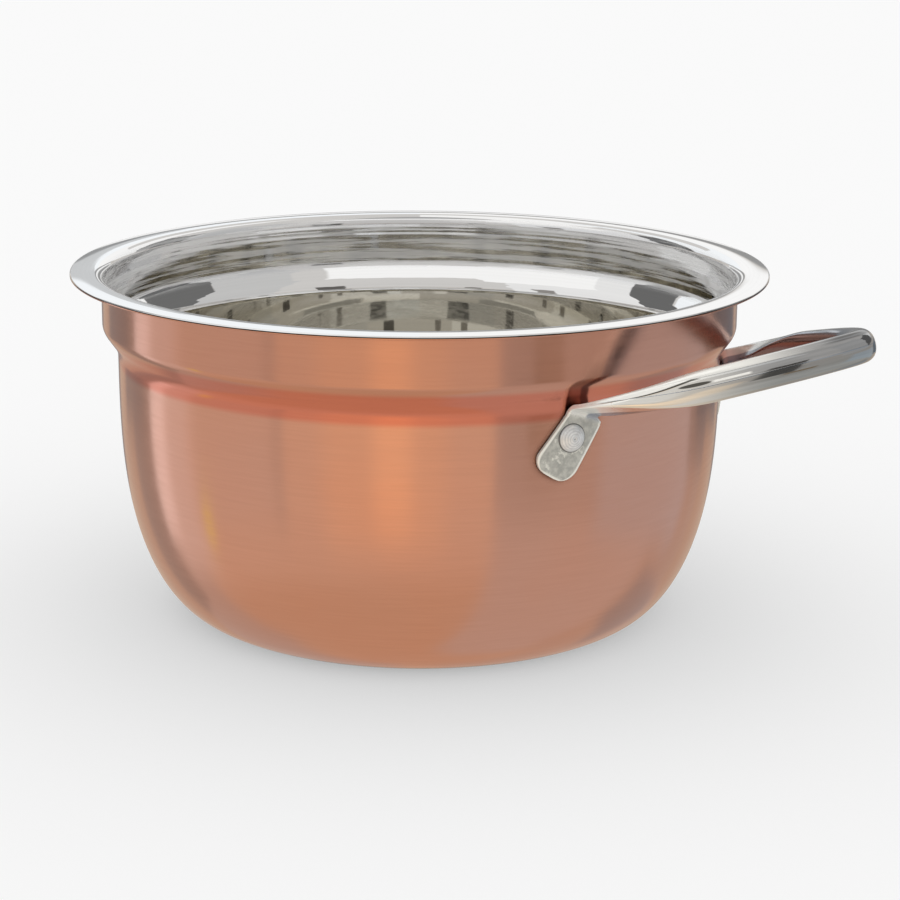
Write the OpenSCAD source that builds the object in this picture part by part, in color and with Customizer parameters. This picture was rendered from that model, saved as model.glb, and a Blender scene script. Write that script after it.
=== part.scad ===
// Soup kettle: a copper-clad steel bowl with a flanged rim and one riveted loop handle.
// Origin at the middle of the base, +Z up. The handle points along +X.

/* [Bowl] */
// Diameter over the rim flange
rim_d = 211; // [201:1:240]
// Height from the table to the top of the rim
height = 105; // [95:1:160]
// Width of the flange, from the outside of the neck to the edge of the rim
flange_w = 9.2; // [7:0.1:14]
// Outside diameter of the body just below the shoulder
body_d = 183.6; // [170:0.2:188]
// Diameter of the flat that the kettle stands on
base_d = 136; // [90:1:160]
// Depth of the neck, from the rim top to where the shoulder starts
neck_depth = 15.6; // [8:0.2:25]
// Slope of the shoulder away from the vertical, in degrees
shoulder_angle = 35; // [20:1:55]
// Outside radius where the neck turns into the shoulder
shoulder_top_r = 4.5; // [2:0.5:8]
// Outside radius of the hollow where the shoulder runs into the body
shoulder_foot_r = 8; // [3:0.5:12]
// Radius of the bend from the neck to the flange, on the steel face
rim_bend_r = 3.2; // [2:0.1:5]
// Rounding of the steel's upper edge round the rim
rim_edge_r = 0.4; // [0.1:0.05:0.5]
// How upright the side stays before it turns in (2 is an ellipse)
side_fullness = 2.9; // [2:0.1:4]
// How softly the side turns into the base (2 is an ellipse)
base_softness = 1.65; // [1.4:0.05:2.4]

/* [Sheet] */
// Thickness of the inner steel sheet
steel_t = 0.6; // [0.4:0.05:1.2]
// Thickness of the outer copper sheet
copper_t = 0.38; // [0.2:0.02:0.8]
// Clearance between the two sheets
sheet_gap = 0.02; // [0.01:0.01:0.05]

/* [Handle] */
// Reach of the loop beyond the edge of the rim
handle_reach = 39.4; // [28:0.2:75]
// Drop from the rim top to the middle of the loop's tip
handle_drop = 9.4; // [-10:0.2:15]
// Height of the oval section of the grip
grip_h = 9.4; // [8:0.2:16]
// Thickness of the oval section of the grip
grip_t = 8.4; // [5:0.2:10]
// Radius of the loop's nose, along the middle of the grip
nose_r = 6.4; // [5.4:0.2:14]
// Pull of the curve where a leg leaves its fold: more makes the loop wider
leg_pull = 17; // [13:1:20]
// Share of a leg's length over which the flat sheet swells into the grip
swell = 0.45; // [0.3:0.05:0.8]
// How late in that share it swells: 1 is evenly, more leaves the leg flat for longer
swell_delay = 1.2; // [1:0.2:4]
// Tilt of the loop about its own length, as riveted, in degrees
loop_tilt = 2; // [-3:0.5:3]

/* [Tabs and rivets] */
// Angle from the handle's middle to each rivet, in degrees
rivet_angle = 32.5; // [28:0.1:40]
// Drop from the foot of the shoulder to the rivets, halfway between the two
rivet_drop = 8.4; // [7:0.1:18]
// Length of a tab from its fold to its round end
tab_length = 17.6; // [16:0.1:24]
// Width of a tab
tab_w = 13.3; // [10:0.1:14]
// Width of the sheet at the fold
fold_w = 9.2; // [9:0.1:13]
// Thickness of a tab
tab_t = 1.5; // [1.2:0.1:2.4]
// Lean of a tab from the upright, lower end outwards, in degrees
tab_lean = 31; // [10:1:40]
// Slope of the fold line across the top of a tab, in degrees
fold_slope = 17; // [10:1:40]
// Radius of the corners of a tab's round end
tab_corner_r = 5; // [3:0.1:6]
// Clearance on the tab between a rivet's head and the fold
fold_clear = 1.2; // [0.6:0.1:3]
// Radius at the middle of the sheet round the fold
fold_r = 3.5; // [2:0.1:5]
// Angle that the sheet turns through at the fold, in degrees
fold_angle = 76; // [40:1:80]
// Diameter of a rivet's shank
shank_d = 4.8; // [3:0.1:6]
// Diameter of a rivet's outer head
rivet_head_d = 8.2; // [7:0.1:9]
// Height of a rivet's outer head
rivet_head_h = 1.9; // [1:0.1:3]
// Diameter of a rivet's inner head
rivet_foot_d = 8.6; // [7:0.1:10]
// Height of a rivet's inner head
rivet_foot_h = 1.4; // [0.8:0.1:3]
// Diameter of the dimple in the middle of a rivet's outer head
dimple_d = 1.4; // [0.6:0.1:2]
// Depth of that dimple
dimple_depth = 0.5; // [0.2:0.1:1]
// Clearance between pieces that seat on each other
seat_gap = 0.03; // [0.01:0.01:0.1]
// Clearance round a rivet's shank
shank_gap = 0.05; // [0.02:0.01:0.2]

/* [Hidden] */
$fn = 180;

wall_t = copper_t + sheet_gap + steel_t;
rim_r = rim_d / 2;
neck_r = rim_r - flange_w;
body_r = body_d / 2;
base_r = base_d / 2;
flange_z = height - wall_t;
bend_r = rim_bend_r - wall_t;
neck_foot_z = height - neck_depth;

// The shoulder is two arcs with a straight cone between them. It leans in instead of out
// when the body is wider than the neck, and its radii shrink to fit a small step.
step = abs(neck_r - body_r);
lean = neck_r < body_r ? -1 : 1;
shoulder_fit = min(1, step / ((shoulder_top_r + shoulder_foot_r) * (1 - cos(shoulder_angle))));
top_r = shoulder_top_r * shoulder_fit;
foot_r = shoulder_foot_r * shoulder_fit;
cone_h = (step - (top_r + foot_r) * (1 - cos(shoulder_angle))) / tan(shoulder_angle);
body_top_z = neck_foot_z - (top_r + foot_r) * sin(shoulder_angle) - cone_h;

ARC_STEPS = 8;
SIDE_STEPS = 26;
EDGE_STEPS = 4;

// ---- Outline of the bowl, as [radius, height] from the base outwards and up ----

function side_line() = [
    for (i = [0 : SIDE_STEPS - 1])
        let (turn = 90 * i / SIDE_STEPS)
            [base_r + (body_r - base_r) * pow(sin(turn), 2 / base_softness),
             body_top_z * (1 - pow(cos(turn), 2 / side_fullness))]
];

function shoulder_line() = concat(
    [for (i = [0 : ARC_STEPS])
        let (a = shoulder_angle * i / ARC_STEPS)
            [body_r + lean * foot_r * (1 - cos(a)), body_top_z + foot_r * sin(a)]],
    [for (i = [ARC_STEPS : -1 : 0])
        let (a = shoulder_angle * i / ARC_STEPS)
            [neck_r - lean * top_r * (1 - cos(a)), neck_foot_z - top_r * sin(a)]]
);

function bend_line() = [
    for (i = [0 : ARC_STEPS])
        let (a = 90 * i / ARC_STEPS)
            [neck_r + bend_r * (1 - cos(a)), flange_z - bend_r * (1 - sin(a))]
];

function outer_line(edge_r) =
    concat([[0, 0]], side_line(), shoulder_line(), bend_line(), [[edge_r, flange_z]]);

// Each point moves along its mitre, so that every face of the sheet moves by d.
function left_of(a, b) = [a[1] - b[1], b[0] - a[0]] / norm(b - a);

function offset_line(line, d) = [
    for (i = [0 : len(line) - 1])
        let (before = left_of(line[max(i - 1, 0)], line[max(i, 1)]),
             after = left_of(line[min(i, len(line) - 2)], line[min(i + 1, len(line) - 1)]))
            line[i] + (before + after) * d / (1 + before * after)
];

function reversed(line) = [for (i = [len(line) - 1 : -1 : 0]) line[i]];

// Outside radius of the bowl at a height, read off the outline itself
OUTER_BY_HEIGHT = [for (p = concat(side_line(), shoulder_line(), bend_line())) [p[1], p[0]]];
function wall_r(z) = lookup(z, OUTER_BY_HEIGHT);

// ---- The handle: one ring of points per station, swept from end to end ----
// The half with the rear tab is worked out at y > 0. place() tilts it, and mirrors it for side -1.

RING_POINTS = 28;
TAB_STATIONS = 12;
FOLD_STATIONS = 6;
LEG_STATIONS = 30;
TAB_EXPONENT = 9;
GRIP_EXPONENT = 2.3;

fold_u = rivet_head_d / 2 + fold_clear;
rivet_inset = tab_length - fold_u;
rivet_z = body_top_z - rivet_drop;

function unit(v) = v / norm(v);
function blend(a, b, k) = a * (1 - k) + b * k;
function eased(k) = let (c = min(max(k, 0), 1)) c * c * (3 - 2 * c);
function radial(a) = [cos(a), sin(a), 0];
function sideways(a) = [-sin(a), cos(a), 0];
function place(p, side) = [p[0], side * p[1], p[2] - side * p[1] * tan(loop_tilt)];

// A rounded section: x across the sheet, y through it; exponent 2 is an ellipse
function section_point(i, half_w, half_t, exponent) =
    let (a = 360 * i / RING_POINTS,
         scale_down = pow(pow(abs(cos(a)), exponent) + pow(abs(sin(a)), exponent), 1 / exponent))
        [half_w * cos(a), half_t * sin(a)] / scale_down;

// A point of a tab: u up its axis from the rivet, w across it and h out from the wall's face
function tab_turn(u, w) =
    rivet_angle + (w * cos(tab_lean) - u * sin(tab_lean)) / body_r * 180 / PI;
function tab_point(u, w, h, side) =
    let (a = tab_turn(u, w),
         level = rivet_z + u * cos(tab_lean) + w * sin(tab_lean),
         z = level - side * body_r * sin(a) * tan(loop_tilt),
         r = wall_r(min(z, body_top_z)) + seat_gap + h)
        [r * cos(a), side * r * sin(a), z];

// Half width of a tab: it widens downwards and ends in round corners
function tab_half_w(u) =
    let (full = blend(tab_w, fold_w, (u + rivet_inset) / tab_length) / 2,
         into_corner = max(tab_corner_r - (u + rivet_inset), 0))
        full - tab_corner_r + sqrt(pow(tab_corner_r, 2) - pow(into_corner, 2));

// A ring across a tab. The rings turn from square across its axis to the slope of the fold line.
function tab_ring(u, side) =
    let (skew = tan(tab_lean - fold_slope) * (u + rivet_inset) / tab_length)
        [for (i = [0 : RING_POINTS - 1])
            let (p = section_point(i, tab_half_w(u), tab_t / 2, TAB_EXPONENT))
                tab_point(u - skew * p[0], p[0], tab_t / 2 + p[1], side)];

// Stations crowd towards the round end
function tab_station(i) =
    let (k = i / TAB_STATIONS) tab_length * blend(k * k, k, 0.35) - rivet_inset;

function swept_ring(centre, along, across, half_w, half_t, exponent, side) =
    let (through = cross(across, along))
        [for (i = [0 : RING_POINTS - 1])
            let (p = section_point(i, half_w, half_t, exponent))
                place(centre + across * p[0] + through * p[1], side)];

// Frame at the fold: up the tab, across it and out of the wall
fold_turn = tab_turn(fold_u, 0);
fold_z = rivet_z + fold_u * cos(tab_lean);
fold_out = radial(fold_turn);
fold_up = [0, 0, cos(fold_slope)] - sideways(fold_turn) * sin(fold_slope);
fold_across = [0, 0, sin(fold_slope)] + sideways(fold_turn) * cos(fold_slope);
fold_start = fold_out * (wall_r(min(fold_z, body_top_z)) + seat_gap + tab_t / 2) + [0, 0, fold_z];

function fold_centre(a) = fold_start + fold_up * fold_r * sin(a) + fold_out * fold_r * (1 - cos(a));
function fold_along(a) = fold_up * cos(a) + fold_out * sin(a);
function fold_ring(a, side) =
    swept_ring(fold_centre(a), fold_along(a), fold_across, fold_w / 2, tab_t / 2, TAB_EXPONENT, side);

// A leg is a cubic curve from the end of its fold to the tip of the loop
leg_start = fold_centre(fold_angle);
leg_pull_start = leg_start + fold_along(fold_angle) * leg_pull;
leg_tip = [rim_r + handle_reach - grip_t / 2, 0, height - handle_drop];
leg_pull_tip = leg_tip + [0, sqrt((leg_tip[0] - leg_pull_start[0]) * nose_r * 2 / 3), 0];
rise = atan2(leg_tip[2] - leg_start[2], leg_tip[0] - leg_start[0]);
grip_up = [-sin(rise), 0, cos(rise)];

function leg_centre(k) =
    leg_start * pow(1 - k, 3) + leg_pull_start * 3 * k * pow(1 - k, 2)
    + leg_pull_tip * 3 * k * k * (1 - k) + leg_tip * pow(k, 3);
function leg_along(k) = unit(
    (leg_pull_start - leg_start) * pow(1 - k, 2)
    + (leg_pull_tip - leg_pull_start) * 2 * k * (1 - k)
    + (leg_tip - leg_pull_tip) * k * k);

function leg_ring(k, side) =
    let (grown = pow(eased(k / swell), swell_delay),
         along = leg_along(k),
         wanted = blend(fold_across, cross(grip_up, along), grown),
         across = unit(wanted - along * (wanted * along)))
        swept_ring(leg_centre(k), along, across,
                   blend(fold_w, grip_t, grown) / 2, blend(tab_t, grip_h, grown) / 2,
                   blend(TAB_EXPONENT, GRIP_EXPONENT, grown), side);

function half_rings(side) = concat(
    [for (i = [0 : TAB_STATIONS]) tab_ring(tab_station(i), side)],
    [for (i = [1 : FOLD_STATIONS]) fold_ring(fold_angle * i / FOLD_STATIONS, side)],
    [for (i = [1 : LEG_STATIONS]) leg_ring(i / LEG_STATIONS, side)]
);

// Both ends close with a fan from the middle of their ring
module sweep(rings) {
    sides = len(rings[0]);
    last = (len(rings) - 1) * sides;
    middles = [for (ring = [rings[0], rings[len(rings) - 1]]) (ring[0] + ring[sides / 2]) / 2];
    points = concat([for (ring = rings) for (p = ring) p], middles);
    walls = [
        for (j = [0 : sides : last - sides]) for (i = [0 : sides - 1])
            let (n = (i + 1) % sides)
                each [[j + i, j + n, j + sides + n], [j + i, j + sides + n, j + sides + i]]
    ];
    caps = [
        for (i = [0 : sides - 1])
            let (n = (i + 1) % sides)
                each [[last + sides, n, i], [last + sides + 1, last + i, last + n]]
    ];
    polyhedron(points, concat(walls, caps));
}

// ---- Placing things at a rivet: side is -1 for the front one and 1 for the rear one ----

function rivet_height(side) = rivet_z - side * body_r * sin(rivet_angle) * tan(loop_tilt);

module at_rivet(side) {
    rotate([0, 0, side * rivet_angle]) translate([0, 0, rivet_height(side)]) rotate([0, 90, 0])
        children();
}

module rivet_holes(from_r, to_r) {
    for (side = [-1, 1]) at_rivet(side)
        translate([0, 0, from_r]) cylinder(h = to_r - from_r, d = shank_d + 2 * shank_gap, $fn = 48);
}

HEAD_STEPS = 10;
HOLE_REACH = 5;
hole_from = body_r - HOLE_REACH;
hole_to = body_r + HOLE_REACH;

// ---- The pieces ----

module bowl() {
    edge_r = min(rim_edge_r, 0.8 * steel_t);
    edge = [for (i = [0 : EDGE_STEPS - 1])
        let (a = 90 * i / EDGE_STEPS)
            [rim_r - edge_r * (1 - cos(a)), height - edge_r * (1 - sin(a))]];
    color("gainsboro") difference() {
        rotate_extrude() polygon(concat(offset_line(outer_line(rim_r), copper_t + sheet_gap), edge,
                                        reversed(offset_line(outer_line(rim_r - edge_r), wall_t))));
        rivet_holes(hole_from, hole_to);
    }
}

// The copper sheet covers the outside and ends flush with the steel at the edge of the rim
module copper_shell() {
    line = outer_line(rim_r);
    color("peru") difference() {
        rotate_extrude() polygon(concat(line, reversed(offset_line(line, copper_t))));
        rivet_holes(hole_from, hole_to);
    }
}

module handle() {
    front = half_rings(-1);
    rear = half_rings(1);
    color("silver") difference() {
        sweep(concat(rear, [for (i = [len(front) - 2 : -1 : 0]) front[i]]));
        rivet_holes(hole_from, hole_to);
    }
}

// A rivet is turned about its own axis: a foot that is flat on the inside of the bowl, the shank,
// and the formed head, a low dome on the tab with a dimple in the middle.
module rivet(side) {
    outside = wall_r(rivet_height(side));
    inside = outside - wall_t;
    foot_face = sqrt(pow(inside, 2) - pow(rivet_foot_d / 2, 2)) - seat_gap;
    head_face = outside + seat_gap + tab_t + seat_gap;
    color("darkgray") at_rivet(side) rotate_extrude($fn = 64) polygon(concat(
        [[0, foot_face - rivet_foot_h], [rivet_foot_d / 2, foot_face - rivet_foot_h],
         [rivet_foot_d / 2, foot_face], [shank_d / 2, foot_face], [shank_d / 2, head_face]],
        head_line(head_face)));
}

function head_line(head_face) =
    let (dome_r = (pow(rivet_head_d / 2, 2) + pow(rivet_head_h, 2)) / (2 * rivet_head_h),
         edge_angle = asin(rivet_head_d / 2 / dome_r),
         dimple_angle = asin(dimple_d / 2 / dome_r))
        concat([for (i = [0 : HEAD_STEPS])
                   let (a = edge_angle + (dimple_angle - edge_angle) * i / HEAD_STEPS)
                       [dome_r * sin(a), head_face + rivet_head_h - dome_r * (1 - cos(a))]],
               [[0, head_face + rivet_head_h - dimple_depth]]);

module front_rivet() rivet(-1);
module rear_rivet() rivet(1);

bowl();
copper_shell();
handle();
front_rivet();
rear_rivet();
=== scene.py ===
import math

import bmesh
import bpy
import numpy as np
from mathutils import Matrix, Vector


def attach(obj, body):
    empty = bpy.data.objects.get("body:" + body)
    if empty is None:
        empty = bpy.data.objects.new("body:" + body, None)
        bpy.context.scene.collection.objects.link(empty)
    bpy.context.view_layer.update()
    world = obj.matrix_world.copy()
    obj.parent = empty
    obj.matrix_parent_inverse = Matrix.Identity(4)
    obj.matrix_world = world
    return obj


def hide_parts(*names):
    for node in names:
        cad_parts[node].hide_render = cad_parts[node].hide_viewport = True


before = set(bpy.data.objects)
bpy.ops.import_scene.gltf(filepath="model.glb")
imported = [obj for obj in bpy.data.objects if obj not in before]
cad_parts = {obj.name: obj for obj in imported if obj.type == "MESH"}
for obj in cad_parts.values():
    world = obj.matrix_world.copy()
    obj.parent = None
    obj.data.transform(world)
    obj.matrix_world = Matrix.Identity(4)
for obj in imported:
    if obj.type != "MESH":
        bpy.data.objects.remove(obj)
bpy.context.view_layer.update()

MM = 0.001

# ---------------------------------------------------------------- sizes, in millimetres
# The bowl and its copper shell, as in part.scad
RIM_D, HEIGHT, FLANGE_W, BODY_D, BASE_D = 211.0, 105.0, 9.2, 183.6, 136.0
NECK_DEPTH, SHOULDER_ANGLE, SHOULDER_TOP_R, SHOULDER_FOOT_R = 15.6, 35.0, 4.5, 8.0
RIM_BEND_R, RIM_EDGE_R, SIDE_FULLNESS, BASE_SOFTNESS = 3.2, 0.4, 2.9, 1.65
STEEL_T, COPPER_T, SHEET_GAP = 0.6, 0.38, 0.02

# The handle and its rivets, as in part.scad
HANDLE_REACH, HANDLE_DROP, GRIP_H, GRIP_T = 39.4, 9.4, 9.4, 8.4
NOSE_R, LEG_PULL, SWELL, SWELL_DELAY, LOOP_TILT = 6.4, 17.0, 0.45, 1.2, 2.0
RIVET_ANGLE, RIVET_DROP, TAB_LENGTH, TAB_W, FOLD_W, TAB_T = 32.5, 8.4, 17.6, 13.3, 9.2, 1.5
TAB_LEAN, FOLD_SLOPE, TAB_CORNER_R, FOLD_CLEAR = 31.0, 17.0, 5.0, 1.2
FOLD_R, FOLD_ANGLE = 3.5, 76.0
SHANK_D, HEAD_D, HEAD_H, FOOT_D, FOOT_H = 4.8, 8.2, 1.9, 8.6, 1.4
SEAT_GAP = 0.03
TAB_EXPONENT, GRIP_EXPONENT = 9.0, 2.3

# Detail that is only here: the tab's squarer inner corner, which ends within the fold
TAB_SQUARE, STEP_AT, TAB_STEP = 0.95, 1.0, 1.8
# ... the crease pressed into each leg, between two distances from the loop's tip, and where it
# runs round the section there, in turns
CREASE_DEPTH, CREASE_SPREAD = 0.08, 0.014
CREASE_NEAR, CREASE_FAR, CREASE_TURN, CREASE_FADE = 52.0, 74.0, (-0.097, 0.02), 3
# ... and the rings and the dimple that the rivet set leaves on a head
SET_DEPTH, SET_RATE, SET_REACH = 0.035, 9.0, 3.6
DIMPLE_DEPTH, DIMPLE_R, HEAD_SINK, FOOT_ROUND = 0.30, 0.42, 0.02, 0.5

# How finely the meshes are cut
BOWL_SEGMENTS, RIVET_SEGMENTS, HEAD_STEPS = 288, 96, 60
RING, TAB_RINGS, FOLD_RINGS, LEG_RINGS = 72, 36, 14, 90
EVEN_SHARE = 0.35
UV_LENGTH = 100
TINY = 1e-6

wall_t = COPPER_T + SHEET_GAP + STEEL_T
rim_r, body_r, base_r = RIM_D / 2, BODY_D / 2, BASE_D / 2
neck_r = rim_r - FLANGE_W
flange_z = HEIGHT - wall_t
bend_r = RIM_BEND_R - wall_t
neck_foot_z = HEIGHT - NECK_DEPTH
sa = math.radians(SHOULDER_ANGLE)
step = neck_r - body_r
cone_h = (step - (SHOULDER_TOP_R + SHOULDER_FOOT_R) * (1 - math.cos(sa))) / math.tan(sa)
body_top_z = neck_foot_z - (SHOULDER_TOP_R + SHOULDER_FOOT_R) * math.sin(sa) - cone_h
fold_u = HEAD_D / 2 + FOLD_CLEAR
rivet_inset = TAB_LENGTH - fold_u
rivet_z = body_top_z - RIVET_DROP


# ---------------------------------------------------------------- mesh helpers
def mesh_object(name, verts, faces, uvs=None):
    me = bpy.data.meshes.new(name)
    me.from_pydata([tuple(float(c) * MM for c in v) for v in verts], [], faces)
    me.validate()
    me.polygons.foreach_set("use_smooth", [True] * len(me.polygons))
    if uvs is not None:
        layer = me.uv_layers.new(name="surface")
        loop_v = np.zeros(len(me.loops), int)
        me.loops.foreach_get("vertex_index", loop_v)
        layer.data.foreach_set("uv", np.asarray(uvs, np.float32)[loop_v].ravel())
    me.update()
    ob = bpy.data.objects.new(name, me)
    bpy.context.scene.collection.objects.link(ob)
    return ob


def point_values(ob, name, values):
    """One number on each vertex, for a material to read."""
    ob.data.attributes.new(name, "FLOAT", "POINT").data.foreach_set("value", values)


def mark_sharp(ob, degrees):
    """Edges that turn by more than this stay crisp."""
    bm = bmesh.new()
    bm.from_mesh(ob.data)
    for e in bm.edges:
        turns = len(e.link_faces) == 2 and e.calc_face_angle(0) > math.radians(degrees)
        e.smooth = not turns
    bm.to_mesh(ob.data)
    bm.free()


def rounded(line, corner, radius, steps=5):
    """The line with one corner replaced by an arc."""
    a, b, c = (np.array(p, float) for p in line[corner - 1:corner + 2])
    u, v = (a - b) / np.linalg.norm(a - b), (c - b) / np.linalg.norm(c - b)
    half = math.acos(float(np.clip(u @ v, -1, 1))) / 2
    reach = radius / math.tan(half)
    p, q = b + u * reach, b + v * reach
    centre = b + (u + v) / np.linalg.norm(u + v) * radius / math.sin(half)
    arc = []
    for i in range(steps + 1):
        d = (p - centre) * (1 - i / steps) + (q - centre) * (i / steps)
        arc.append(tuple(centre + d / np.linalg.norm(d) * radius))
    return line[:corner] + arc + line[corner + 1:]


def lathe(name, line, segments=BOWL_SEGMENTS, closed=True):
    """An outline of (radius, height) points turned about the Z axis. Radius 0 makes a pole."""
    turns = [2 * math.pi * k / segments for k in range(segments)]
    verts, rings = [], []
    for r, z in line:
        if r < TINY:
            rings.append([len(verts)] * segments)
            verts.append((0, 0, z))
        else:
            rings.append(list(range(len(verts), len(verts) + segments)))
            verts += [(r * math.cos(a), r * math.sin(a), z) for a in turns]
    faces = []
    pairs = list(zip(rings, rings[1:]))
    if closed and line[0][0] > TINY:
        pairs.append((rings[-1], rings[0]))
    for low, high in pairs:
        for k in range(segments):
            n = (k + 1) % segments
            face = [low[k], low[n], high[n], high[k]]
            face = [i for j, i in enumerate(face) if i not in face[:j]]
            if len(face) > 2:
                faces.append(face)
    return mesh_object(name, verts, faces)


# ---------------------------------------------------------------- outline of the bowl
def side_line(steps=80):
    out = []
    for i in range(steps):
        t = math.radians(90 * i / steps)
        out.append((base_r + (body_r - base_r) * math.sin(t) ** (2 / BASE_SOFTNESS),
                    body_top_z * (1 - math.cos(t) ** (2 / SIDE_FULLNESS))))
    return out


def shoulder_line(steps=14):
    angles = [sa * i / steps for i in range(steps + 1)]
    foot = [(body_r + SHOULDER_FOOT_R * (1 - math.cos(a)),
             body_top_z + SHOULDER_FOOT_R * math.sin(a)) for a in angles]
    top = [(neck_r - SHOULDER_TOP_R * (1 - math.cos(a)),
            neck_foot_z - SHOULDER_TOP_R * math.sin(a)) for a in angles[::-1]]
    return foot + top


def bend_line(steps=12):
    return [(neck_r + bend_r * (1 - math.cos(a)), flange_z - bend_r * (1 - math.sin(a)))
            for a in (math.pi / 2 * i / steps for i in range(steps + 1))]


def outer_line():
    return [(0.0, 0.0)] + side_line() + shoulder_line() + bend_line() + [(rim_r, flange_z)]


def offset_line(line, d):
    """The line moved inwards by d, along the mitres of its corners."""
    pts = [np.array(p, float) for p in line]

    def left(a, b):
        return np.array((a[1] - b[1], b[0] - a[0])) / np.linalg.norm(b - a)
    out = []
    for i, p in enumerate(pts):
        before = left(pts[max(i - 1, 0)], pts[max(i, 1)])
        after = left(pts[min(i, len(pts) - 2)], pts[min(i + 1, len(pts) - 1)])
        out.append(tuple(p + (before + after) * d / (1 + before @ after)))
    return out


side_points = [(z, r) for r, z in side_line() + shoulder_line() + bend_line()]


def wall_r(z):
    """The copper's outside radius at this height."""
    return float(np.interp(z, [p[0] for p in side_points], [p[1] for p in side_points]))


def bowl_outline():
    below = offset_line(outer_line(), COPPER_T + SHEET_GAP)
    inside = offset_line(outer_line(), wall_t)[::-1]
    return rounded(below + inside, len(below), RIM_EDGE_R, steps=8)


def copper_outline():
    under = outer_line()
    inside = offset_line(under, COPPER_T)[::-1]
    return rounded(under + inside, len(under) - 1, COPPER_T / 2)


# ---------------------------------------------------------------- the loop handle
# side is 1 for the rear leg and -1 for the front one. A tab has coordinates u up along it and w
# across it from the rivet, and h out from the wall.
lean, slope, tilt = (math.radians(a) for a in (TAB_LEAN, FOLD_SLOPE, LOOP_TILT))


def unit(v):
    return v / np.linalg.norm(v)


def eased(k):
    c = min(max(k, 0.0), 1.0)
    return c * c * (3 - 2 * c)


def mix(a, b, k):
    return a * (1 - k) + b * k


def place(p, side):
    return np.array((p[0], side * p[1], p[2] - side * p[1] * math.tan(tilt)))


def section(i, half_w, half_t, n):
    """Point i of a superellipse: the higher n is, the closer it is to a rectangle."""
    a = 2 * math.pi * i / RING
    c, s = math.cos(a), math.sin(a)
    d = (abs(c) ** n + abs(s) ** n) ** (1 / n)
    return half_w * c / d, half_t * s / d


def tab_turn(u, w):
    return math.radians(RIVET_ANGLE) + (w * math.cos(lean) - u * math.sin(lean)) / body_r


def tab_point(u, w, h, side):
    a = tab_turn(u, w)
    level = rivet_z + u * math.cos(lean) + w * math.sin(lean)
    z = level - side * body_r * math.sin(a) * math.tan(tilt)
    r = wall_r(min(z, body_top_z)) + SEAT_GAP + h
    return np.array((r * math.cos(a), side * r * math.sin(a), z))


def tab_half_w(u):
    full = mix(TAB_W, FOLD_W, (u + rivet_inset) / TAB_LENGTH) / 2
    into = max(TAB_CORNER_R - (u + rivet_inset), 0)
    return full - TAB_CORNER_R + math.sqrt(max(TAB_CORNER_R ** 2 - into ** 2, 0))


def tab_ring(u, side):
    skew = math.tan(lean - slope) * (u + rivet_inset) / TAB_LENGTH
    ring = []
    square = (TAB_W - FOLD_W) / 2 * TAB_SQUARE * (u + rivet_inset) / TAB_LENGTH
    for i in range(RING):
        w, h = section(i, tab_half_w(u), TAB_T / 2, TAB_EXPONENT)
        if w < 0:
            w *= 1 + square / tab_half_w(u)
        ring.append(tab_point(u - skew * w, w, TAB_T / 2 + h, side))
    return ring


def swept_ring(centre, along, across, half_w, half_t, n, side, square=0.0):
    through = np.cross(across, along)
    ring = []
    for i in range(RING):
        x, y = section(i, half_w, half_t, n)
        if x < 0:
            x *= 1 + square / half_w
        ring.append(place(centre + across * x + through * y, side))
    return ring


fold_turn = tab_turn(fold_u, 0)
fold_z = rivet_z + fold_u * math.cos(lean)
radial = np.array((math.cos(fold_turn), math.sin(fold_turn), 0))
sideways = np.array((-math.sin(fold_turn), math.cos(fold_turn), 0))
up = np.array((0, 0, 1.0))
fold_up = up * math.cos(slope) - sideways * math.sin(slope)
fold_across = up * math.sin(slope) + sideways * math.cos(slope)
fold_start = radial * (wall_r(min(fold_z, body_top_z)) + SEAT_GAP + TAB_T / 2) + up * fold_z


def fold_centre(a):
    return fold_start + fold_up * FOLD_R * math.sin(a) + radial * FOLD_R * (1 - math.cos(a))


def fold_along(a):
    return fold_up * math.cos(a) + radial * math.sin(a)


# Each leg's middle line is one cubic curve, from the end of the fold to the tip of the loop.
fold_end = math.radians(FOLD_ANGLE)
leg_start = fold_centre(fold_end)
pull_start = leg_start + fold_along(fold_end) * LEG_PULL
leg_tip = np.array((rim_r + HANDLE_REACH - GRIP_T / 2, 0, HEIGHT - HANDLE_DROP))
nose_pull = math.sqrt((leg_tip[0] - pull_start[0]) * NOSE_R * 2 / 3)
pull_tip = leg_tip + np.array((0, nose_pull, 0))
rise = math.atan2(leg_tip[2] - leg_start[2], leg_tip[0] - leg_start[0])
grip_up = np.array((-math.sin(rise), 0, math.cos(rise)))


def leg_ring(k, side):
    grown = eased(k / SWELL) ** SWELL_DELAY
    centre = (leg_start * (1 - k) ** 3 + pull_start * 3 * k * (1 - k) ** 2
              + pull_tip * 3 * k * k * (1 - k) + leg_tip * k ** 3)
    along = unit((pull_start - leg_start) * (1 - k) ** 2
                 + (pull_tip - pull_start) * 2 * k * (1 - k) + (leg_tip - pull_tip) * k * k)
    wanted = mix(fold_across, np.cross(grip_up, along), grown)
    across = unit(wanted - along * (wanted @ along))
    return swept_ring(centre, along, across, mix(FOLD_W, GRIP_T, grown) / 2,
                      mix(TAB_T, GRIP_H, grown) / 2, mix(TAB_EXPONENT, GRIP_EXPONENT, grown), side)


def fold_ring(a, side):
    square = (TAB_W - FOLD_W) / 2 * TAB_SQUARE * (1 - eased((FOLD_R * a - STEP_AT) / TAB_STEP))
    return swept_ring(fold_centre(a), fold_along(a), fold_across, FOLD_W / 2, TAB_T / 2,
                      TAB_EXPONENT, side, square)


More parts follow.
